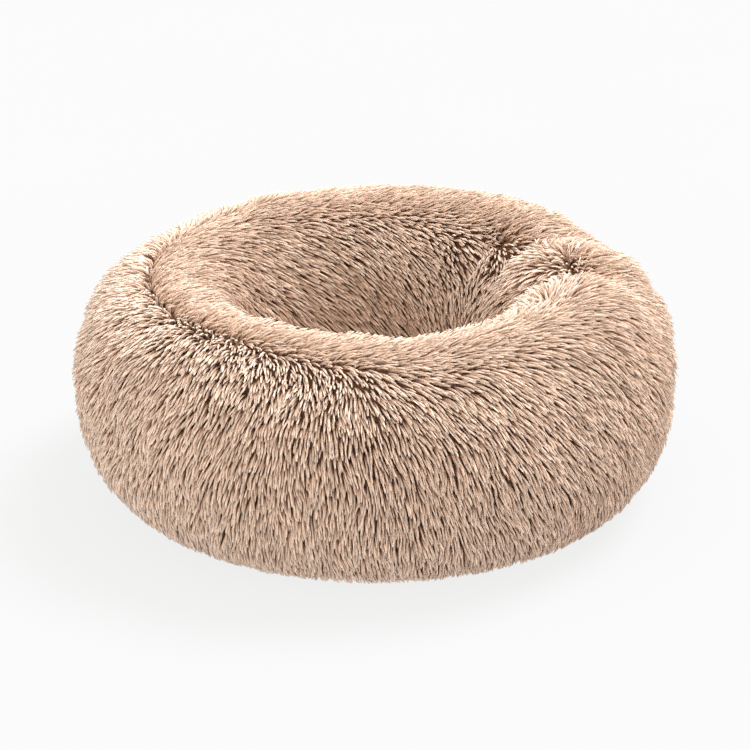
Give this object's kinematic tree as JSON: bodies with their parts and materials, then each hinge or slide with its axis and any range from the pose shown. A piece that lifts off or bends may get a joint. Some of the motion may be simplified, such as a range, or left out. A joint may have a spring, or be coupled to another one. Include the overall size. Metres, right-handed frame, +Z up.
{
  "type": "round plush pet bed",
  "caption": "Round plush pet bed: a stuffed shaggy ring around a sunken sleeping pad, on a dotted non-slip base, with a zip low at the back.",
  "frame": {"origin": "on the floor, under the middle of the bed", "axes": "+Z up along the bed's axis, the front of the bed faces -Y, the zip is round the back at +Y"},
  "size_m": [0.5, 0.4998, 0.195],
  "materials": {
    "plush": "matte",
    "base_cloth": "matte",
    "grip_film": "matte",
    "bag_cloth": "matte",
    "filling": "matte",
    "thread": "satin",
    "zip_tape": "matte",
    "zip_coil": "satin",
    "zip_metal": "satin",
    "label_cloth": "satin"
  },
  "bodies": {
    "bed": {"outer_wall_cover": "plush", "inner_wall_cover": "plush", "centre_panel": "plush", "base_cloth": "base_cloth", "grip_film": "grip_film", "ring_bag": "bag_cloth", "ring_filling": "filling", "pad_bag": "bag_cloth", "pad_filling": "filling", "crest_seam_thread": "thread", "centre_seam_thread": "thread", "base_seam_thread": "thread", "zip_seam_threads": "thread", "zip_tape_upper": "zip_tape", "zip_tape_lower": "zip_tape", "zip_coil_upper": "zip_coil", "zip_coil_lower": "zip_coil", "zip_top_stops": "zip_metal", "zip_end_stop": "zip_metal", "care_label": "label_cloth"},
    "zip_slider": {"zip_slider_body": "zip_metal"},
    "zip_pull": {"zip_pull_tab": "zip_metal"}
  },
  "joints": [
    {"name": "slider_travel", "type": "hinge", "parent": "bed", "child": "zip_slider", "pos_m": [0, 0, 0], "axis": [0, 0, 1], "range_deg": [0, 140], "deforming": ["zip_coil_upper", "zip_coil_lower"]},
    {"name": "pull_swing", "type": "hinge", "parent": "zip_slider", "child": "zip_pull", "pos_m": [0.20558, 0.07483, 0.01473], "axis": [0.6645, 0.2418, 0.7071], "range_deg": [-80, 80]}
  ]
}
